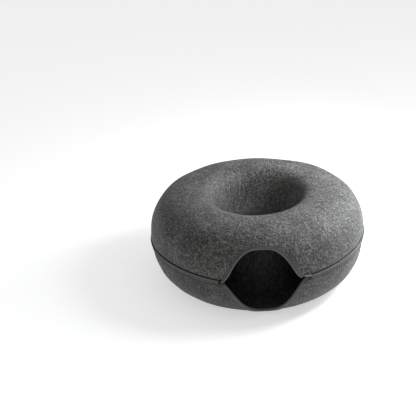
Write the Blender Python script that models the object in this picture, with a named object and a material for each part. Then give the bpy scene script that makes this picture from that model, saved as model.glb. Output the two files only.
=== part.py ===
"""Felt cat cave: a ring-shaped tunnel of two moulded felt shells, joined by a zip round the outside.

Metres, +Z up. The origin is on the floor, under the middle of the whole cave's bounding box. The
doorway faces -Y. An azimuth is in degrees round the ring, from the doorway's middle towards +X.
"""

from math import atan2, copysign, cos, degrees, hypot, pi, radians, sin

import bmesh
import bpy
import numpy as np
from mathutils import Matrix, Vector

# Main sizes
RING_RADIUS = 0.250  # to the outer face of the zip tape, the widest place
SEAM_HEIGHT = 0.109  # from the floor to the lower edge of the upper shell
HOLE_RADIUS = 0.0865  # the middle hole, at the inner seam
FELT = 0.004  # thickness of the moulded felt
TAPE = 0.0011  # thickness of the binding and the seam tape
CLEARANCE = 0.0008  # between pieces that are sewn together, so that their facets stay apart

# The two shells. edge_inset is the outer edge's distance inside the ring's radius, and edge_drop its
# distance from the seam. The flat or highest ring lies from crest_in to crest_out, at rise from the
# seam. round_r and round_z are the powers of the outer curve.
SHELLS = {
    "upper_shell": dict(side=1, edge_inset=0.0025, edge_drop=0.0, crest_out=0.1365, crest_in=0.1365,
                        rise=0.1015, round_r=2.9, round_z=2.35),
    "lower_shell": dict(side=-1, edge_inset=0.0045, edge_drop=0.0042, crest_out=0.141, crest_in=0.124,
                        rise=0.109, round_r=2.4, round_z=2.7),
}
INNER_EDGE_DROP = 0.0014  # each shell's inner edge, from the inner seam
WALL_LEAN = 11.0  # the hole's wall leans out by this many degrees at the inner seam
WALL_PULL = 0.71  # reach of the handles of the wall's curve, as a share of its width and height

# The doorway is one arch in each shell: the azimuths of its peak and of its two ends, its height, the
# power that rounds it, and the rise over which its ends flare out along the seam.
DOORS = {
    "upper_shell": dict(peak=-0.4, ends=(-18.4, 17.75), height=0.0729, round_power=3.06, flare=0.024),
    "lower_shell": dict(peak=0.75, ends=(-18.95, 19.75), height=0.0904, round_power=2.14, flare=0.0456),
}

# Moulded felt strays from a true ring. One row for each number of waves round the ring: how far the
# seam's height, the radius and the crest's height swing, as cosine and sine parts.
UNEVEN = (
    # waves, seam cos, seam sin, radius cos, radius sin, crest cos, crest sin
    (1, 0.0007, 0.0027, 0.0, 0.0, -0.0037, -0.0017),
    (2, 0.0021, -0.0012, -0.0013, 0.0004, -0.0003, 0.0010),
    (3, -0.0032, 0.0, 0.0028, 0.0008, 0.0, 0.0),
)
HOLE_SHIFT = 0.0033  # the hole lies this far to +X of the ring's middle

# Facets
COLUMNS = 80
DOOR_COLUMNS = 36
DOOR_STEP = 1.4  # degrees between two columns at the doorway, where they stand closer
OUTER_ROWS = 10
INNER_ROWS = 6
CURVE_STEPS = 120  # points that a shell's section is measured with
ZIP_STATIONS = 60
INNER_SEAM_STATIONS = 48
END_TAB_STATIONS = 6
SHARP_ANGLE = 50.0  # degrees between two faces that are shaded apart
NUDGE_TURN = 0.05  # degrees, and the next in metres: steps that slopes are measured over
NUDGE = 0.0002
BLANK_RADIUS = 2.0  # of the unit tube that a strip is spun as, before its points are placed
BLANK_TURN = pi / 2  # how far an open strip's blank is spun

# Binding of the doorway, folded over the felt's raw edge
BINDING_LEG = 0.0085  # width that shows on the felt
BINDING_ROUND = 0.8  # how far the fold's corners stand out, as a share of the tape's own build-up
BINDING_ENDS = {"upper_shell": (-14, 14), "lower_shell": (-15, 16)}  # in columns from the middle

# Zip. Both run round the back, from the azimuth on the right of the doorway to the one on its left.
CHAIN_RADIUS = 0.0014
CHAIN_INSET = 0.0022  # the chain's middle, inside the ring's radius
CHAIN_SIDES = 6
CHAIN_ENDS = (24.3, 337.5)
ZIP_TAPE_ENDS = (24.4, 337.7)
ZIP_TAPE_SECTION = (
    # below the lower shell's edge, out from its felt
    (0.0105, 0.0008), (0.0105, 0.0018), (0.0058, 0.0024), (0.0040, 0.0038),
    (0.0022, 0.0044), (0.0004, 0.0041), (-0.0003, 0.0028), (0.0002, 0.0008),
)
# The tape's end is folded up over the upper shell's corner: its two azimuths, its middle's heights
# from the seam there, and its inner and outer face inside the ring's radius. Its half height grows
# from the share at its point to the whole at full_at, a share of its length.
END_TAB = dict(ends=(20.3, 23.9), heights=(0.0022, -0.0016), insets=(0.0017, 0.0003),
               half_height=0.0021, point=0.2, full_at=0.625)
INNER_SEAM_HALF = 0.0045  # half the width of the tape round the hole

COLOURS = {  # base colour, roughness
    "felt": ((0.085, 0.084, 0.082), 0.95),
    "binding": ((0.100, 0.098, 0.096), 0.75),
    "zip_tape": ((0.065, 0.065, 0.064), 0.70),
    "zip_chain": ((0.012, 0.012, 0.013), 0.45),
}


def clear_scene():
    for thing in list(bpy.data.objects):
        bpy.data.objects.remove(thing, do_unlink=True)


def material(name):
    """The plain material of that name, made the first time."""
    if name in bpy.data.materials:
        return bpy.data.materials[name]
    colour, roughness = COLOURS[name]
    made = bpy.data.materials.new(name)
    made.use_nodes = True
    shader = made.node_tree.nodes["Principled BSDF"]
    shader.inputs["Base Color"].default_value = (*colour, 1.0)
    shader.inputs["Roughness"].default_value = roughness
    shader.inputs["Metallic"].default_value = 0.0
    return made


def add_object(name, bm, material_name):
    """Links bm as an object, shaded smooth but for its sharp edges."""
    mesh = bpy.data.meshes.new(name)
    bm.to_mesh(mesh)
    bm.free()
    mesh.materials.append(material(material_name))
    mesh.shade_smooth()
    mesh.set_sharp_from_angle(angle=radians(SHARP_ANGLE))
    made = bpy.data.objects.new(name, mesh)
    bpy.context.scene.collection.objects.link(made)
    return made


def waves(azimuth):
    """How far the seam's height, the radius and the crest's height stray at that azimuth."""
    seam = swell = crest = 0.0
    for count, seam_cos, seam_sin, swell_cos, swell_sin, crest_cos, crest_sin in UNEVEN:
        c, s = cos(count * radians(azimuth)), sin(count * radians(azimuth))
        seam += seam_cos * c + seam_sin * s
        swell += swell_cos * c + swell_sin * s
        crest += crest_cos * c + crest_sin * s
    return seam, swell, crest


def ring_point(azimuth, radius, height):
    turn = radians(azimuth)
    return Vector((radius * sin(turn), -radius * cos(turn), height))


def between(ends, share):
    return ends[0] + (ends[1] - ends[0]) * share


class Section:
    """A shell's section, read by the distance along the felt from its outer edge."""

    def __init__(self, name):
        self.shell = SHELLS[name]
        self.door = DOORS[name]
        outer = self.outer_wall()
        points = np.concatenate([outer, self.hole_wall()])
        steps = np.linalg.norm(np.diff(points, axis=0), axis=1)
        self.along = np.concatenate([[0.0], np.cumsum(steps)])
        self.radius, self.rise = points.T
        self.outer_count = len(outer)
        self.crest = self.along[self.outer_count - 1]
        self.flat_end = self.along[self.outer_count]
        self.end = self.along[-1]

    def outer_wall(self):
        """Radius and rise from the outer edge to the crest: a quarter of a rounded square."""
        shell = self.shell
        turn = np.linspace(0.0, pi / 2, CURVE_STEPS)
        width = RING_RADIUS - shell["edge_inset"] - shell["crest_out"]
        height = shell["rise"] - shell["edge_drop"]
        radius = shell["crest_out"] + width * np.cos(turn) ** (2 / shell["round_r"])
        rise = shell["edge_drop"] + height * np.sin(turn) ** (2 / shell["round_z"])
        return np.stack([radius, rise], axis=1)

    def hole_wall(self):
        """Radius and rise from the crest down the hole to the inner seam: one cubic curve."""
        start = np.array([self.shell["crest_in"], self.shell["rise"]])
        end = np.array([HOLE_RADIUS, INNER_EDGE_DROP])
        lean = radians(WALL_LEAN)
        first = start - np.array([WALL_PULL * (start[0] - end[0]), 0.0])
        last = end + WALL_PULL * start[1] * np.array([sin(lean), cos(lean)])
        t = np.linspace(0.0, 1.0, CURVE_STEPS)[:, None]
        u = 1 - t
        return u**3 * start + 3 * u**2 * t * first + 3 * u * t**2 * last + t**3 * end

    def edge(self, azimuth):
        """Distance along the section at which the felt starts: 0 at the seam, more in the doorway."""
        door = self.door
        away = azimuth - door["peak"]
        share = away / (door["ends"][away > 0] - door["peak"])
        plain = door["height"] * (1 - share ** door["round_power"])
        flare = door["flare"]
        arch = max(plain, 0.0) + max(flare - abs(plain), 0.0) ** 2 / (4 * flare)
        outer = slice(0, self.outer_count)
        return float(np.interp(self.shell["edge_drop"] + arch, self.rise[outer], self.along[outer]))

    def rows(self, azimuth):
        """Distances of the rows of points, from the felt's edge to the inner seam."""
        outer = np.linspace(self.edge(azimuth), self.crest, OUTER_ROWS + 1)
        inner = np.linspace(self.flat_end, self.end, INNER_ROWS + 1)
        return [*outer, *inner] if self.flat_end > self.crest + NUDGE else [*outer, *inner[1:]]

    def place(self, azimuth, distance):
        """The point of the felt's outer face at that azimuth and distance along the section."""
        radius = float(np.interp(distance, self.along, self.radius))
        rise = float(np.interp(distance, self.along, self.rise)) + min(distance, 0.0)
        share = min(max(rise / self.shell["rise"], 0.0), 1.0)
        seam, swell, crest = waves(azimuth)
        height = SEAM_HEIGHT + self.shell["side"] * rise
        if distance < self.crest:
            height += seam * (1 - share)
        if self.shell["side"] > 0:
            height += crest * share
        outness = min(max((radius - HOLE_RADIUS) / (RING_RADIUS - HOLE_RADIUS), 0.0), 1.0)
        point = ring_point(azimuth, radius + outness * swell, height)
        point.x += HOLE_SHIFT * (1 - outness)
        return point

    def off(self, azimuth, distance, out):
        """The point at distance out from the felt's outer face, along its normal."""
        across = self.place(azimuth + NUDGE_TURN, distance) - self.place(azimuth - NUDGE_TURN, distance)
        up = self.place(azimuth, distance + NUDGE) - self.place(azimuth, distance - NUDGE)
        normal = across.cross(up).normalized() * self.shell["side"]
        return self.place(azimuth, distance) + out * normal

    def from_edge(self, azimuth, reach, out):
        """The point that lies reach into the felt from its edge, square to the edge, and out from it."""
        here = self.edge(azimuth)
        run = self.place(azimuth, here).xy.length
        rise = self.edge(azimuth + NUDGE_TURN) - self.edge(azimuth - NUDGE_TURN)
        slope = rise / (radians(2 * NUDGE_TURN) * run)
        length = hypot(1.0, slope)
        return self.off(azimuth - degrees(slope * reach / (length * run)), here + reach / length, out)


def column_azimuth(turn):
    """Azimuth of the column that a spin puts at that turn, in radians from -pi to pi."""
    column = turn / (2 * pi) * COLUMNS
    at_door = DOOR_COLUMNS / 2
    if abs(column) <= at_door:
        return DOOR_STEP * column
    beyond = (abs(column) - at_door) / (COLUMNS / 2 - at_door)
    return copysign(DOOR_STEP * at_door + (180 - DOOR_STEP * at_door) * beyond, turn)


def felt_shell(name):
    """Spins a flat ring of felt, moulds its points onto the shell's form and gives it thickness."""
    section = Section(name)
    bm = bmesh.new()
    blank = [bm.verts.new((1.0 + row, 0.0, 0.0)) for row in range(len(section.rows(0.0)))]
    edges = [bm.edges.new(pair) for pair in zip(blank, blank[1:])]
    bmesh.ops.spin(bm, geom=blank + edges, cent=(0, 0, 0), axis=(0, 0, 1), angle=2 * pi,
                   steps=COLUMNS, use_merge=True)
    for vert in bm.verts:
        row = round(vert.co.length) - 1
        azimuth = column_azimuth(atan2(vert.co.y, vert.co.x))
        vert.co = section.place(azimuth, section.rows(azimuth)[row])
    bm.normal_update()
    faces = bm.faces[:]
    highest = max(faces, key=lambda face: abs(face.calc_center_median().z - SEAM_HEIGHT))
    if highest.normal.z * section.shell["side"] < 0:
        bmesh.ops.reverse_faces(bm, faces=faces)
    shell = add_object(name, bm, "felt")
    thickness = shell.modifiers.new("felt", "SOLIDIFY")
    thickness.thickness = FELT
    thickness.offset = -1.0
    thickness.use_even_offset = True


def strip(name, material_name, sides, stations, place, closed=False):
    """A solid strip of that many sides and stations. place(share, side) gives each of its points."""
    bm = bmesh.new()
    turns = [2 * pi * side / sides for side in range(sides)]
    corners = [bm.verts.new((BLANK_RADIUS + cos(turn), 0.0, sin(turn))) for turn in turns]
    edges = [bm.edges.new((corners[side - 1], corners[side])) for side in range(sides)]
    whole = 2 * pi if closed else BLANK_TURN
    bmesh.ops.spin(bm, geom=corners + edges, cent=(0, 0, 0), axis=(0, 0, 1), angle=whole,
                   steps=stations, use_merge=closed)
    for vert in bm.verts:
        station = round(atan2(vert.co.y, vert.co.x) / whole * stations) % (stations + 1 - closed)
        turn = atan2(vert.co.z, hypot(vert.co.x, vert.co.y) - BLANK_RADIUS)
        side = round(turn / (2 * pi) * sides) % sides
        vert.co = place(station / stations, side)
    if not closed:
        bmesh.ops.holes_fill(bm, edges=[edge for edge in bm.edges if edge.is_boundary])
    bmesh.ops.recalc_face_normals(bm, faces=bm.faces)
    add_object(name, bm, material_name)


def door_binding(name, shell_name):
    """Tape folded over the edge of one arch: an outer leg, the fold and an inner leg."""
    section = Section(shell_name)
    gap, out = CLEARANCE, CLEARANCE + TAPE
    nose = BINDING_ROUND * out
    fold = (
        # into the felt, out from its outer face
        (BINDING_LEG, gap), (BINDING_LEG, out), (0.0, out),
        (-nose, -FELT * (1 - BINDING_ROUND)), (-nose, -FELT * BINDING_ROUND),
        (0.0, -FELT - out), (BINDING_LEG, -FELT - out), (BINDING_LEG, -FELT - gap),
        (-gap / 2, -FELT - gap), (-gap / 2, gap),
    )
    first, last = BINDING_ENDS[shell_name]

    def place(share, side):
        azimuth = DOOR_STEP * between((first, last), share)
        return section.from_edge(azimuth, *fold[side])

    strip(name, "binding", len(fold), last - first, place)


def zip_chain():
    """The closed teeth, in the gap between the two shells' outer edges."""
    radius = RING_RADIUS - CHAIN_INSET
    drop = SHELLS["lower_shell"]["edge_drop"] / 2

    def place(share, side):
        azimuth = between(CHAIN_ENDS, share)
        seam, swell, _ = waves(azimuth)
        turn = 2 * pi * side / CHAIN_SIDES
        height = SEAM_HEIGHT + seam - drop + CHAIN_RADIUS * sin(turn)
        return ring_point(azimuth, radius + swell + CHAIN_RADIUS * cos(turn), height)

    strip("zip_chain", "zip_chain", CHAIN_SIDES, ZIP_STATIONS, place)


def zip_tape():
    """The band sewn round the lower shell's edge, with a raised fold along its top."""
    section = Section("lower_shell")

    def place(share, side):
        distance, out = ZIP_TAPE_SECTION[side]
        return section.off(between(ZIP_TAPE_ENDS, share), distance, out)

    strip("zip_tape", "zip_tape", len(ZIP_TAPE_SECTION), ZIP_STATIONS, place)


def zip_end_tab():
    """The zip tape's right end, folded up over the corner of the upper shell, a thin pointed flap."""

    def place(share, side):
        azimuth = between(END_TAB["ends"], share)
        seam, swell, _ = waves(azimuth)
        grown = sin(pi / 2 * min(share / END_TAB["full_at"], 1.0))
        half = END_TAB["half_height"] * between((END_TAB["point"], 1.0), grown)
        inset = END_TAB["insets"][side in (0, 3)]
        height = between(END_TAB["heights"], share) + (half if side in (0, 1) else -half)
        return ring_point(azimuth, RING_RADIUS - inset + swell, SEAM_HEIGHT + seam + height)

    strip("zip_end_tab", "zip_tape", 4, END_TAB_STATIONS, place)


def inner_seam_tape():
    """The tape that joins the two shells round the middle hole."""
    upper, lower = Section("upper_shell"), Section("lower_shell")
    gap, out = CLEARANCE, CLEARANCE + TAPE
    section = (
        # shell, up or down the hole's wall from the seam, out from the felt
        (upper, INNER_SEAM_HALF, gap), (upper, INNER_SEAM_HALF, out), (upper, 0.0, out),
        (lower, INNER_SEAM_HALF, out), (lower, INNER_SEAM_HALF, gap), (lower, 0.0, gap),
    )

    def place(share, side):
        shell, reach, off = section[side]
        return shell.off(360 * share, shell.end - reach, off)

    strip("inner_seam_tape", "zip_tape", len(section), INNER_SEAM_STATIONS, place, closed=True)


def centre_on_origin():
    """Brings the middle of the whole cave's box over the origin. Its height is already right."""
    bpy.context.view_layer.update()
    graph = bpy.context.evaluated_depsgraph_get()
    things = bpy.context.scene.objects
    corners = np.array([corner[:] for thing in things for corner in thing.evaluated_get(graph).bound_box])
    middle = (corners.min(axis=0) + corners.max(axis=0)) / 2
    for thing in things:
        thing.data.transform(Matrix.Translation((-middle[0], -middle[1], 0.0)))


clear_scene()
felt_shell("upper_shell")
felt_shell("lower_shell")
door_binding("upper_door_binding", "upper_shell")
door_binding("lower_door_binding", "lower_shell")
zip_chain()
zip_tape()
zip_end_tab()
inner_seam_tape()
centre_on_origin()
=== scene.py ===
import random
from math import cos, pi, radians, sin

import bmesh
import bpy
import numpy as np
from mathutils import Matrix, Vector


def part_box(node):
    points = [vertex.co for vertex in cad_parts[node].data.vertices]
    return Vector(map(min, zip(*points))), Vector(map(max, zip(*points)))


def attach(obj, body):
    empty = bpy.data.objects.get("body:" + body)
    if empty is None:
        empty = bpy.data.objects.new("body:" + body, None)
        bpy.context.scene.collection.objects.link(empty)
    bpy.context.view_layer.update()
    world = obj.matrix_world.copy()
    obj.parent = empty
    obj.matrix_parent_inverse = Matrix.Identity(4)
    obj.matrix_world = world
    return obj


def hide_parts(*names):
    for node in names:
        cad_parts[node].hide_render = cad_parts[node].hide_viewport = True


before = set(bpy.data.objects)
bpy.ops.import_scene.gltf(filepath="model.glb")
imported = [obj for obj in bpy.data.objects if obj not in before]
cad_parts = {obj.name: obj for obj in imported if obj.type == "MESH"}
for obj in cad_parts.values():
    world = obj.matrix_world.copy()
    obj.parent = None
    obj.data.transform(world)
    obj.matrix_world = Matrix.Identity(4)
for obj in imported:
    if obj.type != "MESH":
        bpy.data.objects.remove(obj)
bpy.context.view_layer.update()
print("frame loaded")

# The whole cave, in metres. An azimuth is in degrees round the ring, from the doorway's middle (-Y)
# towards +X. The two shells' sections and the doorway follow the solids.
cave = {
    "ringRadius": 0.250,
    "sideRadius": 0.245,      # of the felt beside the doorway, to turn widths into degrees
    "seamHeight": 0.109,
    "holeRadius": 0.0865,
    "holeShift": 0.0033,      # of the middle hole, to +X
    "felt": 0.004,
    "innerEdgeDrop": 0.0014,  # from the seam to each shell's inner edge
    "wallLean": 11.0,         # of the hole's wall where it meets the inner seam, in degrees
    "wallPull": 0.71,         # how full the wall's curve is
    "lumpHeight": 0.00035,    # soft dents that the moulded felt keeps
    "lumpSizes": (0.035, 0.12),
    "lumpCount": 7,
    "lumpFade": 0.03,         # over this distance they fade out at the felt's edges
    "lumpFadeBelow": 0.04,    # and over this one on the resting ring
    "flowRadius": 0.18,       # of the ring that the felt's pattern is laid on
    "measureAt": 0.004,       # how far into the felt the length of a tape is measured
}
# side is 1 above the seam and -1 below it. Degrees for the doorway's left and right, and its peak. A
# larger round makes a section or an arch squarer, and a larger flare its corners softer.
shellSizes = {
    "upper": dict(side=1, edgeInset=0.0025, edgeDrop=0.0, crestOut=0.1365, crestIn=0.1365,
                  rise=0.1015, roundR=2.9, roundZ=2.35,
                  doorPeak=-0.4, doorLeft=-18.4, doorRight=17.75, doorHeight=0.0729, doorRound=3.06,
                  doorFlare=0.024),
    "lower": dict(side=-1, edgeInset=0.0045, edgeDrop=0.0042, crestOut=0.141, crestIn=0.124,
                  rise=0.109, roundR=2.4, roundZ=2.7,
                  doorPeak=0.75, doorLeft=-18.95, doorRight=19.75, doorHeight=0.0904, doorRound=2.14,
                  doorFlare=0.0456),
}
# how the seam's height, the outer radius and the crest's height wander round the ring
uneven = (
    # waves round the ring, seam cos, seam sin, radius cos, radius sin, crest cos, crest sin
    (1, 0.0007, 0.0027, 0.0, 0.0, -0.0037, -0.0017),
    (2, 0.0021, -0.0012, -0.0013, 0.0004, -0.0003, 0.0010),
    (3, -0.0032, 0.0, 0.0028, 0.0008, 0.0, 0.0),
)
seamTapeLow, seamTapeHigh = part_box("inner_seam_tape")
ringAxis = (seamTapeLow + seamTapeHigh) / 2 - Vector((cave["holeShift"], 0, 0))
curveSteps = 240
nudgeTurn, nudge = 0.05, 0.0002   # degrees and metres, for slopes
weld = 1e-7                       # vertices this near each other are one

draw = random.Random(11)


def lumpWaves():
    found = []
    for _ in range(cave["lumpCount"]):
        size = draw.uniform(*cave["lumpSizes"])
        way = Vector([draw.gauss(0, 1) for _ in range(3)]).normalized() * 2 * pi / size
        found.append((way, draw.uniform(0, 2 * pi), cave["lumpHeight"] * draw.uniform(0.5, 1.0)))
    return found


lumps = lumpWaves()


def unevenAt(azimuth):
    turn = np.radians(azimuth)
    seam, swell, crest = np.zeros_like(turn), np.zeros_like(turn), np.zeros_like(turn)
    for count, seamCos, seamSin, swellCos, swellSin, crestCos, crestSin in uneven:
        c, s = np.cos(count * turn), np.sin(count * turn)
        seam = seam + seamCos * c + seamSin * s
        swell = swell + swellCos * c + swellSin * s
        crest = crest + crestCos * c + crestSin * s
    return seam, swell, crest


def ringPoint(azimuth, radius, height):
    turn = np.radians(azimuth)
    return np.stack([ringAxis.x + radius * np.sin(turn), ringAxis.y - radius * np.cos(turn),
                     height + 0 * turn], axis=-1)


# One shell's moulded form, read by azimuth and by the distance along the felt from its outer edge
class FeltForm:
    def __init__(self, name):
        self.size = shellSizes[name]
        outer, wall = self.outerWall(), self.holeWall()
        points = np.concatenate([outer, wall])
        steps = np.linalg.norm(np.diff(points, axis=0), axis=1)
        self.along = np.concatenate([[0.0], np.cumsum(steps)])
        self.radius, self.rise = points.T
        self.outerCount = len(outer)
        self.crest = self.along[self.outerCount - 1]
        self.end = self.along[-1]

    def outerWall(self):
        size = self.size
        turn = np.linspace(0.0, pi / 2, curveSteps)
        width = cave["ringRadius"] - size["edgeInset"] - size["crestOut"]
        height = size["rise"] - size["edgeDrop"]
        radius = size["crestOut"] + width * np.cos(turn) ** (2 / size["roundR"])
        rise = size["edgeDrop"] + height * np.sin(turn) ** (2 / size["roundZ"])
        return np.stack([radius, rise], axis=1)

    def holeWall(self):
        lean = radians(cave["wallLean"])
        start = np.array([self.size["crestIn"], self.size["rise"]])
        end = np.array([cave["holeRadius"], cave["innerEdgeDrop"]])
        first = start - np.array([cave["wallPull"] * (start[0] - end[0]), 0.0])
        last = end + cave["wallPull"] * start[1] * np.array([sin(lean), cos(lean)])
        t = np.linspace(0.0, 1.0, curveSteps)[:, None]
        u = 1 - t
        return u**3 * start + 3 * u**2 * t * first + 3 * u * t**2 * last + t**3 * end

    def edge(self, azimuth):      # where the felt starts: 0 at the seam, more in the doorway
        size = self.size
        away = (azimuth - size["doorPeak"] + 180) % 360 - 180
        half = np.where(away > 0, size["doorRight"], size["doorLeft"]) - size["doorPeak"]
        plain = size["doorHeight"] * (1 - (away / half) ** size["doorRound"])
        flare = size["doorFlare"]      # rounds the corner where the arch runs out into the seam
        arch = np.maximum(plain, 0) + np.maximum(flare - np.abs(plain), 0) ** 2 / (4 * flare)
        outer = slice(0, self.outerCount)
        return np.interp(size["edgeDrop"] + arch, self.rise[outer], self.along[outer])

    def place(self, azimuth, distance):
        size = self.size
        radius = np.interp(distance, self.along, self.radius)
        rise = np.interp(distance, self.along, self.rise) + np.minimum(distance, 0.0)
        share = np.clip(rise / size["rise"], 0.0, 1.0)
        seam, swell, crest = unevenAt(azimuth)
        height = cave["seamHeight"] + size["side"] * rise
        height = height + seam * (1 - share) * (distance < self.crest)
        if size["side"] > 0:
            height = height + crest * share
        outness = np.clip((radius - cave["holeRadius"]) / (cave["ringRadius"] - cave["holeRadius"]), 0, 1)
        point = ringPoint(azimuth, radius + outness * swell, height)
        point[..., 0] += cave["holeShift"] * (1 - outness)
        return point

    def normal(self, azimuth, distance):
        across = self.place(azimuth + nudgeTurn, distance) - self.place(azimuth - nudgeTurn, distance)
        up = self.place(azimuth, distance + nudge) - self.place(azimuth, distance - nudge)
        found = np.cross(across, up) * self.size["side"]
        return found / np.linalg.norm(found, axis=-1, keepdims=True)

    def flow(self, azimuth, distance):     # a place on the felt that a pattern can follow
        turn, reach = np.radians(azimuth), cave["flowRadius"]
        return np.stack([reach * np.sin(turn), -reach * np.cos(turn), distance + 0 * turn], axis=-1)

    def lump(self, azimuth, distance):     # fades out at the edges and on the resting ring
        flow = self.flow(azimuth, distance)
        height = sum(size * np.sin(flow @ np.array(way) + phase) for way, phase, size in lumps)
        fade = np.clip((distance - self.edge(azimuth)) / cave["lumpFade"], 0, 1)
        fade = fade * np.clip((self.end - distance) / cave["lumpFade"], 0, 1)
        if self.size["side"] < 0:
            fade = fade * np.clip(np.abs(distance - self.crest) / cave["lumpFadeBelow"], 0, 1)
        return height * fade

    def off(self, azimuth, distance, out):
        azimuth, distance, out = np.broadcast_arrays(np.asarray(azimuth, float), distance, out)
        lift = out + self.lump(azimuth, distance)
        return self.place(azimuth, distance) + lift[..., None] * self.normal(azimuth, distance)

    def fromEdge(self, azimuth, reach, out):     # reach is into the felt, square to its edge
        here = self.edge(azimuth)
        run = np.linalg.norm(self.place(azimuth, here)[..., :2] - np.array(ringAxis[:2]), axis=-1)
        rise = self.edge(azimuth + nudgeTurn) - self.edge(azimuth - nudgeTurn)
        slope = rise / (radians(2 * nudgeTurn) * run)
        length = np.hypot(1.0, slope)
        return self.off(azimuth - np.degrees(slope * reach / (length * run)), here + reach / length, out)


forms = {name: FeltForm(name) for name in shellSizes}
trims = {name: [] for name in shellSizes}     # what is sewn on each shell


def finishedMesh(name, bm):
    mesh = bpy.data.meshes.new(name)
    bm.to_mesh(mesh)
    bm.free()
    return mesh


def intoScene(name, data):
    made = bpy.data.objects.new(name, data)
    bpy.context.scene.collection.objects.link(made)
    return made


def linkPiece(name, bm, material):
    mesh = finishedMesh(name, bm)
    mesh.materials.append(material)
    mesh.shade_smooth()
    piece = intoScene(name, mesh)
    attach(piece, "root")
    return piece


# Rolls a flat grid into a tube of sides round its section and stations along it. place takes arrays
# of shares from 0 to 1 and of side numbers, and returns the points and their flow, which is the
# place that a pattern reads.
def mouldedTube(name, sides, stations, place, material, closed=False):
    bm = bmesh.new()
    bmesh.ops.create_grid(bm, x_segments=stations, y_segments=sides, size=0.5)
    blank = np.array([vert.co[:] for vert in bm.verts]) + 0.5
    station = np.round(blank[:, 0] * stations)
    side = np.round(blank[:, 1] * sides).astype(int) % sides
    points, flow = place(station / stations, side)
    keep = bm.verts.layers.float_vector.new("flow")
    for vert, point, mark in zip(bm.verts, points, flow):
        vert.co = point
        vert[keep] = mark
    rims = [vert for vert in bm.verts if vert.is_boundary]
    bmesh.ops.remove_doubles(bm, verts=rims, dist=weld)
    if not closed:
        bmesh.ops.holes_fill(bm, edges=[edge for edge in bm.edges if edge.is_boundary])
    bmesh.ops.recalc_face_normals(bm, faces=bm.faces)
    return linkPiece(name, bm, material)


stitch = {"length": 0.0024, "width": 0.0005, "segments": 6, "rings": 5, "lineSteps": 1200}


# A row of sewn stitches: each is a small bead of thread, sunk into the cloth along a line.
# line takes azimuths and returns points on the cloth, and outward the cloth's normals there.
def stitchRow(name, line, outward, ends, pitch):
    length, width = stitch["length"], stitch["width"]
    coarse = np.linspace(*ends, stitch["lineSteps"])
    run = runAlong(line, coarse)
    count = int(run[-1] / pitch)
    middles = (np.arange(count) + 0.5) * run[-1] / count
    azimuths = np.interp(middles, run, coarse)
    ahead = np.interp(middles + length / 2, run, coarse)
    bead = bmesh.new()
    bmesh.ops.create_uvsphere(bead, u_segments=stitch["segments"], v_segments=stitch["rings"], radius=0.5)
    bm = bmesh.new()
    for here, tip, away in zip(line(azimuths), line(ahead), outward(azimuths)):
        along = (Vector(tip) - Vector(here)).normalized()
        side = Vector(away).cross(along).normalized()
        out = along.cross(side)
        turned = Matrix((width * side, width * out, length * along)).transposed().to_4x4()
        addCopy(bm, bead, Matrix.Translation(here) @ turned)
    bead.free()
    return linkPiece(name, bm, stitchFinish)


def addCopy(bm, shape, matrix):     # adds a copy of the shape to bm, turned and moved
    copy = bpy.data.meshes.new("copy")
    shape.to_mesh(copy)
    copy.transform(matrix)
    bm.from_mesh(copy)
    bpy.data.meshes.remove(copy)


def runAlong(line, azimuths):     # the length of a line, from its start to each azimuth
    path = line(azimuths)
    return np.concatenate([[0.0], np.cumsum(np.linalg.norm(np.diff(path, axis=0), axis=1))])


# A shader node's output, so that Python expressions add the Math nodes
class Socket:
    def __init__(self, finish, link):
        self.finish, self.link = finish, link

    def maths(self, operation, first, second):
        return self.finish.node("ShaderNodeMath", {"operation": operation}, {0: first, 1: second})

    def __add__(self, other):
        return self.maths("ADD", self, other)

    def __sub__(self, other):
        return self.maths("SUBTRACT", self, other)

    def __mul__(self, other):
        return self.maths("MULTIPLY", self, other)

    def __rsub__(self, other):
        return self.maths("SUBTRACT", other, self)

    __radd__ = __add__
    __rmul__ = __mul__

    def between(self, low, high):     # 0 at low, 1 at high, smooth
        return self.finish.node("ShaderNodeMapRange", {"interpolation_type": "SMOOTHSTEP"},
                                {"Value": self, "From Min": low, "From Max": high})


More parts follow.
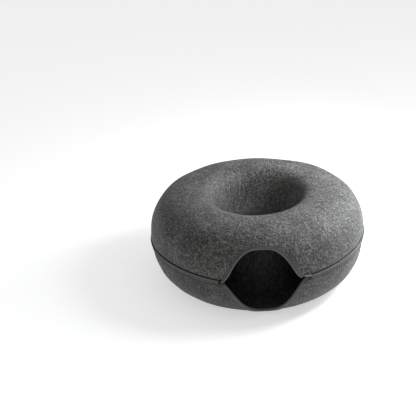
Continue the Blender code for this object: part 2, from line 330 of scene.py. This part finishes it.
class Finish:
    def __init__(self, name, roughness, sheen=0.0, sheenTint=(1, 1, 1), specular=0.3):
        self.material = bpy.data.materials.new(name)
        self.material.use_nodes = True
        self.tree = self.material.node_tree
        self.shader = self.tree.nodes["Principled BSDF"]
        fixed = {"Roughness": roughness, "Sheen Weight": sheen, "Sheen Roughness": 0.5,
                 "Sheen Tint": (*sheenTint, 1.0), "Specular IOR Level": specular}
        for socket, value in fixed.items():
            self.shader.inputs[socket].default_value = value

    # adds a node of any kind: its settings first, then the values or links of its sockets
    def node(self, kind, settings=None, values=None, output=0):
        made = self.tree.nodes.new(kind)
        for key, value in (settings or {}).items():
            if key == "stops":
                ramp = made.color_ramp
                while len(ramp.elements) < len(value):
                    ramp.elements.new(0.5)
                for element, (position, colour) in zip(ramp.elements, value):
                    element.position, element.color = position, (*colour, 1.0)
            else:
                setattr(made, key, value)
        for key, value in (values or {}).items():
            if isinstance(value, Socket):
                self.tree.links.new(value.link, made.inputs[key])
            else:
                made.inputs[key].default_value = value
        return Socket(self, made.outputs[output])

    def feed(self, socket, value):
        self.tree.links.new(value.link, self.shader.inputs[socket])

    def flow(self):      # what a pattern on the piece's surface follows
        return self.node("ShaderNodeAttribute", {"attribute_name": "flow"}, output="Vector")

    def here(self):      # a place in metres
        return self.node("ShaderNodeTexCoord", output="Object")

    def stretched(self, vector, scale):      # the pattern's size along each direction, by its scale
        return self.node("ShaderNodeMapping", None, {"Vector": vector, "Scale": scale})

    def noise(self, vector, scale, detail, roughness):
        return self.node("ShaderNodeTexNoise", None, {
            "Vector": vector, "Scale": scale, "Detail": detail, "Roughness": roughness})

    def ramp(self, factor, *stops):      # each stop: a position and a colour
        return self.node("ShaderNodeValToRGB", {"stops": stops}, {"Fac": factor})

    def mix(self, factor, first, second):
        return self.node("ShaderNodeMix", {"data_type": "RGBA"}, {0: factor, 6: first, 7: second}, output=2)

    def bump(self, height, strength, distance):
        self.feed("Normal", self.node("ShaderNodeBump", None, {
            "Height": height, "Strength": strength, "Distance": distance}))


feltLook = {
    "dark": (0.0036, 0.0034, 0.0033), "mid": (0.031, 0.0297, 0.0285), "light": (0.165, 0.159, 0.152),
    "stops": (0.412, 0.500, 0.594),     # the tones that get these three colours
    "clump": 225.0,               # clumps of fibre per metre
    "broad": 22.0,                # paler and darker areas per metre
    "strand": 440.0,              # strands per metre, across them
    "strandLength": 0.2,          # a strand's scale along it, as a share of that across
    "hair": 800.0,                # single hairs per metre, across them
    "hairLength": 0.12,           # the same for a hair
    "speck": 480.0,               # specks of fibre that stand on end, per metre
    "sway": (110.0, 0.009),       # how often strands wander, per metre, and how far
    "pale": 1.5,                  # a single hair's colour, as a multiple of the light one
    "combed": (0.085, 0.175),     # where the pull into the hole starts to comb the strands and the painted highlight fades in, and where both are full
    "combedStrand": 506.0,        # strands per metre there
    "stretched": 0.052,           # painted highlight: how much paler the hole's wall is made, standing in for light the lamps don't give there
}


# Charcoal and pale fibres, matted. Clumps and specks lie any way, strands run down the section and
# round the ring, and single pale hairs lie on top.
def feltFinish(name, brightness=1.0):
    look = feltLook
    finish = Finish(name, roughness=0.63, sheen=0.08, sheenTint=(0.9, 0.95, 1.0), specular=0.36)
    flow = finish.flow()
    here = finish.here()
    often, far = look["sway"]
    sway = finish.node("ShaderNodeTexNoise", None, {"Vector": here, "Scale": often}, "Color")
    warp = finish.node("ShaderNodeVectorMath", {"operation": "MULTIPLY_ADD"},
                       {0: sway, 1: (far, far, far), 2: flow})
    strand, hair = look["strandLength"], look["hairLength"]
    down = finish.noise(finish.stretched(warp, (1, 1, strand)), look["strand"], 2.0, 0.65)
    about = finish.noise(finish.stretched(warp, (strand, strand, 1)), look["strand"], 2.0, 0.65)
    hairDown = finish.noise(finish.stretched(warp, (1, 1, hair)), look["hair"], 1.0, 0.5)
    hairAbout = finish.noise(finish.stretched(warp, (hair, hair, 1)), look["hair"], 1.0, 0.5)
    speck = finish.noise(here, look["speck"], 2.0, 0.7)
    distance = finish.node("ShaderNodeSeparateXYZ", None, {"Vector": flow}, output=2)
    combedAndPaintedHighlight = distance.between(*look["combed"])
    combed = finish.noise(finish.stretched(warp, (1, 1, hair)), look["combedStrand"], 2.0, 0.6)
    # painted highlight: besides the combed streaks, which are the felt's own, the hole's wall is made paler
    # all round
    combed = (combed - 0.5) * combedAndPaintedHighlight + combedAndPaintedHighlight * look["stretched"]
    clump = finish.noise(here, look["clump"], 3.0, 0.7)
    broad = finish.noise(here, look["broad"], 3.0, 0.55)
    matted = down * 0.48 + about * 0.10 + speck * 0.42
    tone = matted * 0.50 + clump * 0.40 + broad * 0.10 + combed * 0.36
    tones = [tuple(brightness * c for c in look[key]) for key in ("dark", "mid", "light")]
    colour = finish.ramp(tone, *zip(look["stops"], tones))
    pale = tuple(look["pale"] * c for c in tones[2])
    hairs = hairDown.between(0.60, 0.72) + hairAbout.between(0.61, 0.72)
    finish.feed("Base Color", finish.mix(hairs * 0.55, colour, (*pale, 1)))
    finish.feed("Roughness", 0.58 + clump * 0.1)
    finish.bump(matted * 0.7 + clump * 0.9 + combed, 0.8, 0.0024)
    return finish.material


tapeLook = {
    "weave": 75.0,          # scale of the woven threads, about 240 per metre
    "fuzz": 600.0,          # loose fibres per metre
    "patch": 60.0,          # paler and darker areas per metre
    "bump": 0.35,
    "soft": 0.0003,         # how softly a line along the tape ends
}


# Woven tape, with stripes along it of painted highlight and painted shade: each from, to, and how much
# lighter or darker it is.
def tapeFinish(name, dark, light, paintedLightStripes=()):
    finish = Finish(name, roughness=0.8, sheen=0.15, specular=0.25)
    flow = finish.flow()
    here = finish.here()
    threads = [finish.node("ShaderNodeTexWave", {"wave_type": "BANDS", "bands_direction": way},
                           {"Vector": flow, "Scale": tapeLook["weave"], "Distortion": 0.6, "Detail": 1.0})
               for way in "XY"]
    weave = threads[0] * 0.5 + threads[1] * 0.5
    fuzz = finish.noise(here, tapeLook["fuzz"], 3.0, 0.6)
    patch = finish.noise(here, tapeLook["patch"], 2.0, 0.5)
    colour = finish.ramp(weave * 0.10 + fuzz * 0.5 + patch * 0.40, (0.3, dark), (0.72, light))
    reach = finish.node("ShaderNodeSeparateXYZ", None, {"Vector": flow}, output=1)
    soft = tapeLook["soft"]
    # painted highlights and painted shade: stripes along the tape, lighter or darker than its weave
    for start, end, share in paintedLightStripes:
        line = reach.between(start - soft, start + soft) * (1 - reach.between(end - soft, end + soft))
        shade = (*(share * (a + b) / 2 for a, b in zip(dark, light)), 1)
        colour = finish.mix(line * 0.8, colour, shade)
    finish.feed("Base Color", colour)
    finish.feed("Roughness", 0.70 + fuzz * 0.2)
    finish.bump(weave * 0.25 + fuzz * 0.75, tapeLook["bump"], 0.0005)
    return finish.material


# Twisted thread, and the near-black finish of the painted shadow strips in the corner slits
def threadFinish(name, dark, light, sheen=0.1, specular=0.35):
    finish = Finish(name, roughness=0.6, sheen=sheen, specular=specular)
    here = finish.here()
    twist = finish.noise(here, 2500.0, 2.0, 0.5)
    finish.feed("Base Color", finish.ramp(twist, (0.35, dark), (0.65, light)))
    finish.feed("Roughness", 0.5 + twist * 0.3)
    finish.bump(twist, 0.4, 0.0002)
    return finish.material


# Moulded plastic with a little dust
def plasticFinish(name, dark, light):
    finish = Finish(name, roughness=0.4, specular=0.5)
    here = finish.here()
    dust = finish.noise(here, 400.0, 3.0, 0.6)
    finish.feed("Base Color", finish.ramp(dust, (0.4, dark), (0.7, light)))
    finish.feed("Roughness", 0.35 + dust * 0.3)
    finish.bump(dust, 0.15, 0.0002)
    return finish.material


upperFeltFinish = feltFinish("upperFeltFinish")
# painted shade: the lower shell is the same felt at 0.70 of its brightness, darkened to offset the light
# the glowing floor throws on it
lowerFeltShadedFinish = feltFinish("lowerFeltShadedFinish", 0.70)
# painted highlights on the folded lip and the outer crown, and painted shade in the stitch groove
bindingFinish = tapeFinish("bindingFinish", (0.040, 0.0388, 0.0375), (0.105, 0.1015, 0.098), paintedLightStripes=(
    (-0.0030, 0.0003, 1.30), (0.0035, 0.0049, 0.50), (0.0051, 0.0066, 1.45)))
# painted highlight on the raised fold along the top, painted shade in the stitch groove, painted highlight
# on the lower bead
zipBandFinish = tapeFinish("zipBandFinish", (0.030, 0.029, 0.028), (0.088, 0.085, 0.082), paintedLightStripes=(
    (-0.0028, 0.0004, 1.75), (0.0088, 0.0099, 0.55), (0.0101, 0.0115, 1.25)))
tabFinish = tapeFinish("tabFinish", (0.12, 0.117, 0.113), (0.25, 0.243, 0.235))
seamTapeFinish = tapeFinish("seamTapeFinish", (0.025, 0.025, 0.0245), (0.10, 0.099, 0.097))
stitchFinish = threadFinish("stitchFinish", (0.020, 0.020, 0.0195), (0.075, 0.074, 0.072))
paleThreadFinish = threadFinish("paleThreadFinish", (0.42, 0.415, 0.405), (0.80, 0.79, 0.77))
# painted shadow: near black, with no sheen and almost no shine, so the slit strips read as shade
slitShadowFinish = threadFinish("slitShadowFinish", (0.001, 0.001, 0.001), (0.004, 0.004, 0.004), sheen=0.0,
                          specular=0.02)
coilFinish = plasticFinish("coilFinish", (0.006, 0.006, 0.0065), (0.028, 0.028, 0.029))
print("finishes made")


# The two felt shells, each one closed sheet: the outer face, a rolled edge at the inner seam, the
# inner face and a rolled outer edge.
feltSheet = {
    "doorStep": 0.5, "doorColumns": 104,       # degrees between the columns at the doorway
    "backColumns": 272, "outerRows": 40, "wallRows": 26, "rimSteps": 4,
    "innerShare": 2,                           # outer rows for each inner one
    "pressed": 0.2, "pressedWidth": 0.010,     # how far the tape squeezes the felt, and how wide
}


def columnAzimuth(share):
    doorColumns, total = feltSheet["doorColumns"], feltSheet["doorColumns"] + feltSheet["backColumns"]
    column = np.round(share * total)
    column = np.where(column > total / 2, column - total, column)
    half, doorEdge = doorColumns / 2, feltSheet["doorStep"] * doorColumns / 2
    beyond = (np.abs(column) - half) / (total / 2 - half)
    far = np.sign(column) * (doorEdge + (180 - doorEdge) * beyond)
    return np.where(np.abs(column) <= half, feltSheet["doorStep"] * column, far)


def feltShell(name, node, form, material):
    sheet = feltSheet
    half = cave["felt"] / 2
    outer = np.concatenate([np.linspace(0, 1, sheet["outerRows"] + 1),
                            1 + np.linspace(0, 1, sheet["wallRows"] + 1)[1:]])
    inner = outer[::-sheet["innerShare"]]
    rim = np.linspace(0, pi, sheet["rimSteps"] + 2)[1:-1]
    # each side of the section: row from 0 at the edge to 2 at the inner seam, shift along, and out
    section = ([(row, 0.0, 0.0) for row in outer]
               + [(2.0, half * sin(turn), -half * (1 - cos(turn))) for turn in rim]
               + [(row, 0.0, -cave["felt"]) for row in inner]
               + [(0.0, -half * sin(turn), -half * (1 + cos(turn))) for turn in rim])
    rows, shifts, outs = np.array(section).T

    def place(share, side):
        azimuth = columnAzimuth(share)
        start = form.edge(azimuth) + half
        end = form.end - half
        row = rows[side]
        onOuter = start + (form.crest - start) * row
        onWall = form.crest + (end - form.crest) * (row - 1)
        distance = np.where(row <= 1, onOuter, onWall) + shifts[side]
        pressed = 1 - sheet["pressed"] * np.clip(1 - (distance - start) / sheet["pressedWidth"], 0, 1)
        return form.off(azimuth, distance, outs[side] * pressed), form.flow(azimuth, distance)

    stations = sheet["doorColumns"] + sheet["backColumns"]
    shell = mouldedTube(name, len(section), stations, place, material, closed=True)
    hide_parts(node)
    return shell


upperFelt = feltShell("upperFelt", "upper_shell", forms["upper"], upperFeltFinish)
lowerFelt = feltShell("lowerFelt", "lower_shell", forms["lower"], lowerFeltShadedFinish)
print("felt shells moulded")


# A smooth closed outline through the corners, with detail points for each stretch
def sectionRing(points, detail):
    corners = np.array(points)
    previous, after, last = np.roll(corners, 1, 0), np.roll(corners, -1, 0), np.roll(corners, -2, 0)
    found = []
    for step in range(detail):
        t = step / detail
        found.append(0.5 * (2 * corners + (after - previous) * t
                            + (2 * previous - 5 * corners + 4 * after - last) * t**2
                            + (3 * corners - previous - 3 * after + last) * t**3))
    return np.stack(found, axis=1).reshape(-1, 2)


# Binding of the doorway: tape folded over the felt's edge, with a crown on each side of its stitches
binding = {
    "section": (
        # into the felt, out from its face
        (0.0058, 0.0003), (0.0061, 0.0013), (0.0054, 0.0020), (0.0044, 0.0010), (0.0034, 0.0017),
        (0.0022, 0.0020), (0.0007, 0.0019), (-0.0008, 0.0012), (-0.0016, -0.0006), (-0.0018, -0.0022),
        (-0.0014, -0.0034), (0.0004, -0.0046), (0.0028, -0.0050), (0.0048, -0.0047), (0.0058, -0.0049),
        (0.0058, -0.0041), (0.0030, -0.0040), (0.0004, -0.0037), (-0.0004, -0.0020), (0.0004, 0.0003),
        (0.0030, 0.0003),
    ),
    "detail": 2,
    "stitchReach": 0.0044, "stitchOut": 0.00095, "stitchPitch": 0.0034,
    "taper": {"upper": (3.0, 0.75), "lower": (3.2, 0.60)},    # towards the ends: degrees, and width left
    "tail": {"upper": (-18.7, -20.8, 0.0036, 0.0008), "lower": None},    # from, to, droop and lift
    "tailFacing": 0.001,      # how far into the felt the lift's direction is read
    "ends": {"upper": (-21.0, 19.6), "lower": (-21.2, 22.2)},
    "step": 0.22,
}


def doorBinding(name, node, half):
    form, ends, tail = forms[half], binding["ends"][half], binding["tail"][half]
    span, narrow = binding["taper"][half]
    outline = sectionRing(binding["section"], binding["detail"])
    stations = round((ends[1] - ends[0]) / binding["step"])
    azimuths = np.linspace(*ends, stations + 1)
    run = runAlong(lambda a: form.fromEdge(a, cave["measureAt"], 0.0), azimuths)

    def place(share, side):
        azimuth = ends[0] + (ends[1] - ends[0]) * share
        reach, out = outline[side].T
        along = np.interp(azimuth, azimuths, run)
        across = np.where(out > -cave["felt"] / 2, reach, -reach)
        near = np.minimum(azimuth - ends[0], ends[1] - azimuth)
        width = narrow + (1 - narrow) * np.clip(near / span, 0, 1)
        points = form.fromEdge(azimuth, np.where(reach > 0, reach * width, reach), out)
        if tail:
            begin, stop, droop, lift = tail
            far = np.clip((azimuth - begin) / (stop - begin), 0, 1)
            bent = far**2 * (3 - 2 * far)
            facing = form.normal(azimuth, form.edge(azimuth) + binding["tailFacing"])
            points[..., 2] -= droop * bent
            points += (lift * bent)[..., None] * facing
        return points, np.stack([along, across, 0 * along], axis=-1)

    piece = mouldedTube(name, len(outline), stations, place, bindingFinish)
    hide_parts(node)
    stitches = stitchRow(
        name + "Stitches", lambda a: form.fromEdge(a, binding["stitchReach"], binding["stitchOut"]),
        lambda a: form.normal(a, form.edge(a) + binding["stitchReach"]),
        (ends[0] + span, ends[1] - span), binding["stitchPitch"])
    trims[half] += [piece, stitches]


doorBinding("upperBinding", "upper_door_binding", "upper")
doorBinding("lowerBinding", "lower_door_binding", "lower")
print("doorway bound")


# The zip: a woven band sewn round the lower shell's edge, with a raised fold along its top, the coil
# in the gap, and the zip's own tape behind it
zipBand = {
    "ends": (24.4, 337.4),
    "section": (
        # below the lower shell's edge, out from its felt
        (0.0108, 0.0002), (0.0111, 0.0014), (0.0103, 0.0024), (0.0094, 0.0014), (0.0080, 0.0018),
        (0.0060, 0.0021), (0.0040, 0.0023), (0.0022, 0.0024), (0.0012, 0.0034), (0.0000, 0.0041),
        (-0.0014, 0.0040), (-0.0024, 0.0031), (-0.0024, 0.0018), (-0.0012, 0.0008), (0.0012, 0.0003),
        (0.0060, 0.0003),
    ),
    "detail": 2, "step": 0.8,
    "stitchBelow": 0.0095, "stitchOut": 0.0014, "stitchPitch": 0.0036,
    "stitchFree": 0.3,     # degrees left free of stitches at each end
}
zipCoil = {"radius": 0.0012, "inset": 0.0022, "tooth": 0.0011, "depth": 0.22, "sides": 8,
           "ends": (23.6, 338.0)}
zipTape = {"inset": 0.0078, "half": 0.0075, "thick": 0.0006, "ends": (24.4, 337.6), "step": 1.0}


def zipBandPiece():
    form, ends = forms["lower"], zipBand["ends"]
    outline = sectionRing(zipBand["section"], zipBand["detail"])
    stations = round((ends[1] - ends[0]) / zipBand["step"])
    azimuths = np.linspace(*ends, stations + 1)
    run = runAlong(lambda a: form.off(a, cave["measureAt"], 0.0), azimuths)

    def place(share, side):
        azimuth = ends[0] + (ends[1] - ends[0]) * share
        below, out = outline[side].T
        along = np.interp(azimuth, azimuths, run)
        return form.off(azimuth, below, out), np.stack([along, below, 0 * along], axis=-1)

    band = mouldedTube("zipBand", len(outline), stations, place, zipBandFinish)
    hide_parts("zip_tape")
    stitches = stitchRow(
        "zipBandStitches", lambda a: form.off(a, zipBand["stitchBelow"], zipBand["stitchOut"]),
        lambda a: form.normal(a, zipBand["stitchBelow"] + 0 * a),
        (ends[0] + zipBand["stitchFree"], ends[1] - zipBand["stitchFree"]),
        zipBand["stitchPitch"])
    trims["lower"] += [band, stitches]


def zipCoilPiece():
    ends = zipCoil["ends"]
    radius = cave["ringRadius"] - zipCoil["inset"]
    drop = shellSizes["lower"]["edgeDrop"] / 2
    length = radians(ends[1] - ends[0]) * radius
    teeth = round(length / zipCoil["tooth"])
    stations = 2 * teeth

    def place(share, side):
        azimuth = ends[0] + (ends[1] - ends[0]) * share
        seam, swell, _ = unevenAt(azimuth)
        turn = 2 * pi * side / zipCoil["sides"]
        tooth = 1 - zipCoil["depth"] * (np.round(share * stations) % 2)
        thick = zipCoil["radius"] * tooth
        points = ringPoint(azimuth, radius + swell + thick * np.cos(turn),
                           cave["seamHeight"] + seam - drop + thick * np.sin(turn))
        return points, np.stack([share * length, thick * turn, 0 * share], axis=-1)

    coil = mouldedTube("zipCoil", zipCoil["sides"], stations, place, coilFinish)
    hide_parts("zip_chain")
    trims["lower"].append(coil)


def zipTapePiece():
    ends = zipTape["ends"]
    radius = cave["ringRadius"] - zipTape["inset"]
    drop = shellSizes["lower"]["edgeDrop"] / 2
    corners = np.array([(1, 1), (1, -1), (-1, -1), (-1, 1)]) * (zipTape["thick"] / 2, zipTape["half"])
    stations = round((ends[1] - ends[0]) / zipTape["step"])

    def place(share, side):
        azimuth = ends[0] + (ends[1] - ends[0]) * share
        seam, swell, _ = unevenAt(azimuth)
        out, up = corners[side].T
        points = ringPoint(azimuth, radius + swell + out, cave["seamHeight"] + seam - drop + up)
        return points, np.stack([np.radians(azimuth) * radius, up, 0 * share], axis=-1)

    tape = mouldedTube("zipInnerTape", len(corners), stations, place, zipBandFinish)
    trims["lower"].append(tape)


zipBandPiece()
zipCoilPiece()
zipTapePiece()
print("zip sewn in")


# Inner seam tape round the middle hole
seamTape = {
    "half": 0.0046, "gap": 0.0004, "thick": 0.0012, "stations": 260, "detail": 2,
    "face": ((1.0, 0.9), (0.7, 0.75), (0.3, 1.0)),     # corners: shares of the half width and of the face
    "blend": 0.002,          # how wide the step from one shell to the other is
    "stitchUp": 0.0034, "stitchSunk": 0.8, "stitchFacing": 0.002, "stitchPitch": 0.0036,
}


def innerSeamTape():
    upper, lower = forms["upper"], forms["lower"]
    half, gap, face = seamTape["half"], seamTape["gap"], seamTape["gap"] + seamTape["thick"]
    # up from the seam, out from the felt
    above = [(half, gap)] + [(wide * half, high * face) for wide, high in seamTape["face"]]
    below = [(-up, out) for up, out in reversed(above)]
    section = sectionRing([*above, *below, (0.0, gap)], seamTape["detail"])

    def onWall(azimuth, up, out):
        onUpper = upper.off(azimuth, upper.end - np.maximum(up, 0), out)
        onLower = lower.off(azimuth, lower.end - np.maximum(-up, 0), out)
        share = np.clip(0.5 + up / seamTape["blend"], 0, 1)[..., None]
        return onUpper * share + onLower * (1 - share)

    def place(share, side):
        up, out = section[side].T
        along = 2 * pi * share * cave["holeRadius"]
        return onWall(360 * share, up, out), np.stack([along, up, 0 * along], axis=-1)

    tape = mouldedTube("innerSeamTape", len(section), seamTape["stations"], place, seamTapeFinish,
                       closed=True)
    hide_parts("inner_seam_tape")
    trims["upper"].append(tape)
    for name, up in (("innerSeamStitchesUpper", seamTape["stitchUp"]),
                     ("innerSeamStitchesLower", -seamTape["stitchUp"])):
        trims["upper"].append(stitchRow(
            name, lambda a: onWall(a, up + 0 * a, seamTape["stitchSunk"] * face),
            lambda a: upper.normal(a, upper.end - seamTape["stitchFacing"] + 0 * a),
            (0, 360), seamTape["stitchPitch"]))


innerSeamTape()
print("inner seam taped")


# The end of the zip tape, folded up over the upper shell's right corner: a thin pointed flap
endTab = {
    "ends": (20.2, 24.3), "heights": (0.0026, -0.0012), "half": 0.0020, "thick": 0.0014, "out": 0.0004,
    "tip": 0.18, "widening": 1.6,     # the tip's share of the width, and how soon the width is full
    "length": 0.017,                  # along the flap, for its weave
    "stations": 16, "sides": 12,
}


def zipEndTab():
    def place(share, side):
        azimuth = endTab["ends"][0] + (endTab["ends"][1] - endTab["ends"][0]) * share
        seam, swell, _ = unevenAt(azimuth)
        turn = 2 * pi * side / endTab["sides"]
        full = np.sin(pi / 2 * np.minimum(endTab["widening"] * share, 1))
        half = endTab["half"] * (endTab["tip"] + (1 - endTab["tip"]) * full)
        height = endTab["heights"][0] + (endTab["heights"][1] - endTab["heights"][0]) * share
        radius = cave["ringRadius"] + endTab["out"] + swell + endTab["thick"] / 2 * np.cos(turn)
        points = ringPoint(azimuth, radius, cave["seamHeight"] + seam + height + half * np.sin(turn))
        return points, np.stack([share * endTab["length"], half * np.sin(turn), 0 * share], axis=-1)

    tab = mouldedTube("zipEndTab", endTab["sides"], endTab["stations"], place, tabFinish)
    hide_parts("zip_end_tab")
    trims["lower"].append(tab)


zipEndTab()


# Painted shadow at the corners: near-black strips laid in the slits that the binding's end and the zip's
# tape leave between them, standing in for the shade there
slitShadowSizes = {
    "sides": 8, "stations": 14, "thick": 0.0018, "lift": 0.0024, "length": 0.01,
    "foot": 0.02,     # how much of the width is left at the foot, squared
    "slits": {
        # azimuth and distance below the lower shell's edge, at the slit's top and foot, and its width
        "leftSlitShadow": ((-22.0, 0.0012), (-22.1, 0.0085), 0.0024),
        "leftTipSlitShadow": ((-19.6, 0.0052), (-21.9, 0.0030), 0.0019),
        "rightSlitShadow": ((24.3, 0.0018), (20.6, 0.0118), 0.0024),
    },
}


def paintedSlitShadow(name, top, foot, width):
    form = forms["lower"]

    def place(share, side):
        azimuth = top[0] + (foot[0] - top[0]) * share
        below = top[1] + (foot[1] - top[1]) * share
        turn = 2 * pi * side / slitShadowSizes["sides"]
        half = width / 2 * np.sqrt(np.clip(1 - share**2, slitShadowSizes["foot"], 1))
        away = np.degrees(half * np.cos(turn) / cave["sideRadius"])
        out = slitShadowSizes["lift"] + slitShadowSizes["thick"] / 2 * np.sin(turn)
        flow = np.stack([share * slitShadowSizes["length"], turn, 0 * share], axis=-1)
        return form.off(azimuth + away, below, out), flow

    trims["lower"].append(mouldedTube(
        name, slitShadowSizes["sides"], slitShadowSizes["stations"], place, slitShadowFinish))


for name, slit in slitShadowSizes["slits"].items():
    paintedSlitShadow(name, *slit)
print("zip's end and corner folds laid")


# Loose thread ends at the right corner, where the zip's stitching stops
tuft = {
    "middle": (28.2, 0.0083), "spread": (2.3, 0.0042),     # azimuth, and distance below the felt's edge
    "count": 26, "length": (0.004, 0.009), "thick": 0.00028, "lift": 0.0022,
    "bend": 0.5, "droop": 1.6, "steps": 5, "sides": 5,
}


def threadTuft():
    form = forms["lower"]
    bm = bmesh.new()
    for _ in range(tuft["count"]):
        azimuth = tuft["middle"][0] + draw.uniform(-1, 1) * tuft["spread"][0]
        below = tuft["middle"][1] + draw.uniform(-1, 1) * tuft["spread"][1]
        lift = draw.uniform(0.3, 1.0) * tuft["lift"]
        turn = draw.uniform(0, 2 * pi)
        length = draw.uniform(*tuft["length"])
        bend = draw.uniform(-tuft["bend"], tuft["bend"])
        across, down = cos(turn) * length, sin(turn) * length
        path = []
        for step in range(tuft["steps"] + 1):
            share = step / tuft["steps"] - 0.5
            bow = bend * (0.25 - share**2)
            away = np.degrees((across * share - down * bow) / cave["sideRadius"])
            out = lift * (1 - tuft["droop"] * share**2)
            path.append(Vector(form.off(azimuth + away, below + down * share + across * bow, out)))
        threadAlong(bm, path, tuft["thick"] / 2)
    trims["lower"].append(linkPiece("threadTuft", bm, paleThreadFinish))


# A thin round thread: one circle extruded from point to point
def threadAlong(bm, path, radius):
    ahead = (path[1] - path[0]).normalized()
    turn = ahead.to_track_quat("Z", "Y").to_matrix().to_4x4()
    ring = bmesh.ops.create_circle(bm, segments=tuft["sides"], radius=radius, cap_ends=True,
                                   matrix=Matrix.Translation(path[0]) @ turn)["verts"]
    face = ring[0].link_faces[0]
    for here, after in zip(path, path[1:]):
        out = bmesh.ops.extrude_face_region(bm, geom=[face])["geom"]
        face = next(item for item in out if isinstance(item, bmesh.types.BMFace))
        bmesh.ops.translate(bm, verts=face.verts, vec=after - here)


threadTuft()
print("corner threads laid")


# Floor, lights and camera
studioLight = {
    "world": 0.43,
    "floorSize": 30.0, "floorColour": (0.85, 0.85, 0.85), "floorGlow": 0.50, "aimHeight": 0.1,
    "lamps": (
        # name, azimuth, elevation, distance, size, power, colour
        ("keyLamp", 85.0, 48.0, 0.75, 0.35, 5.6, (0.95, 0.985, 1.0)),
        ("sideLamp", 110.0, 25.0, 0.75, 0.35, 5.0, (0.95, 0.985, 1.0)),
        ("farLamp", 115.0, 12.0, 2.0, 1.2, 4.4, (0.95, 0.985, 1.0)),
    ),
}


def studio():
    finish = Finish("floorFinish", roughness=0.9, specular=0.1)
    finish.shader.inputs["Base Color"].default_value = (*studioLight["floorColour"], 1)
    finish.shader.inputs["Emission Color"].default_value = (1, 1, 1, 1)
    finish.shader.inputs["Emission Strength"].default_value = studioLight["floorGlow"]
    bm = bmesh.new()
    bmesh.ops.create_grid(bm, x_segments=1, y_segments=1, size=studioLight["floorSize"])
    floor = intoScene("floor", finishedMesh("floor", bm))
    floor.data.materials.append(finish.material)
    world = bpy.data.worlds.new("studio")
    world.use_nodes = True
    world.node_tree.nodes["Background"].inputs["Color"].default_value = (1, 1, 1, 1)
    world.node_tree.nodes["Background"].inputs["Strength"].default_value = studioLight["world"]
    bpy.context.scene.world = world
    middle = Vector((ringAxis.x, ringAxis.y, studioLight["aimHeight"]))
    for name, azimuth, elevation, distance, size, power, colour in studioLight["lamps"]:
        lamp = bpy.data.lights.new(name, "AREA")
        lamp.shape, lamp.size, lamp.energy, lamp.color = "DISK", size, power, colour
        made = intoScene(name, lamp)
        a, e = radians(azimuth), radians(elevation)
        way = Vector((sin(a) * cos(e), -cos(a) * cos(e), sin(e)))
        made.location = middle + way * distance
        made.rotation_euler = way.to_track_quat("Z", "Y").to_euler()


shot = {
    # angles in degrees, the focal length in pixels of a picture this wide, the sensor in millimetres
    "elevation": 27.4923, "turn": -2.0, "roll": -2.3150, "pan": -3.1371, "tilt": 1.4599,
    "distance": 2.0671, "focal": 876.91, "picture": 416.0, "sensor": 36.0,
}


def makeCamera():
    aim = Vector((ringAxis.x, ringAxis.y, cave["seamHeight"]))
    e, turn = radians(shot["elevation"]), radians(shot["turn"])
    place = shot["distance"] * Vector((sin(turn) * cos(e), -cos(turn) * cos(e), sin(e)))
    ahead = -place.normalized()
    right = ahead.cross(Vector((0, 0, 1))).normalized()
    up = right.cross(ahead)
    pan, tilt, roll = (radians(shot[key]) for key in ("pan", "tilt", "roll"))
    panned = ahead * cos(pan) + right * sin(pan)
    side = right * cos(pan) - ahead * sin(pan)
    look = panned * cos(tilt) + up * sin(tilt)
    top = up * cos(tilt) - panned * sin(tilt)
    across = side * cos(roll) + top * sin(roll)
    upright = top * cos(roll) - side * sin(roll)
    data = bpy.data.cameras.new("camera")
    data.sensor_width = shot["sensor"]
    data.lens = shot["focal"] / shot["picture"] * shot["sensor"]
    camera = intoScene("camera", data)
    turned = Matrix((across, upright, -look)).transposed().to_4x4()
    camera.matrix_world = Matrix.Translation(aim + place) @ turned
    bpy.context.scene.camera = camera


studio()
makeCamera()
bpy.context.scene.view_settings.view_transform = "Standard"
print("studio set")
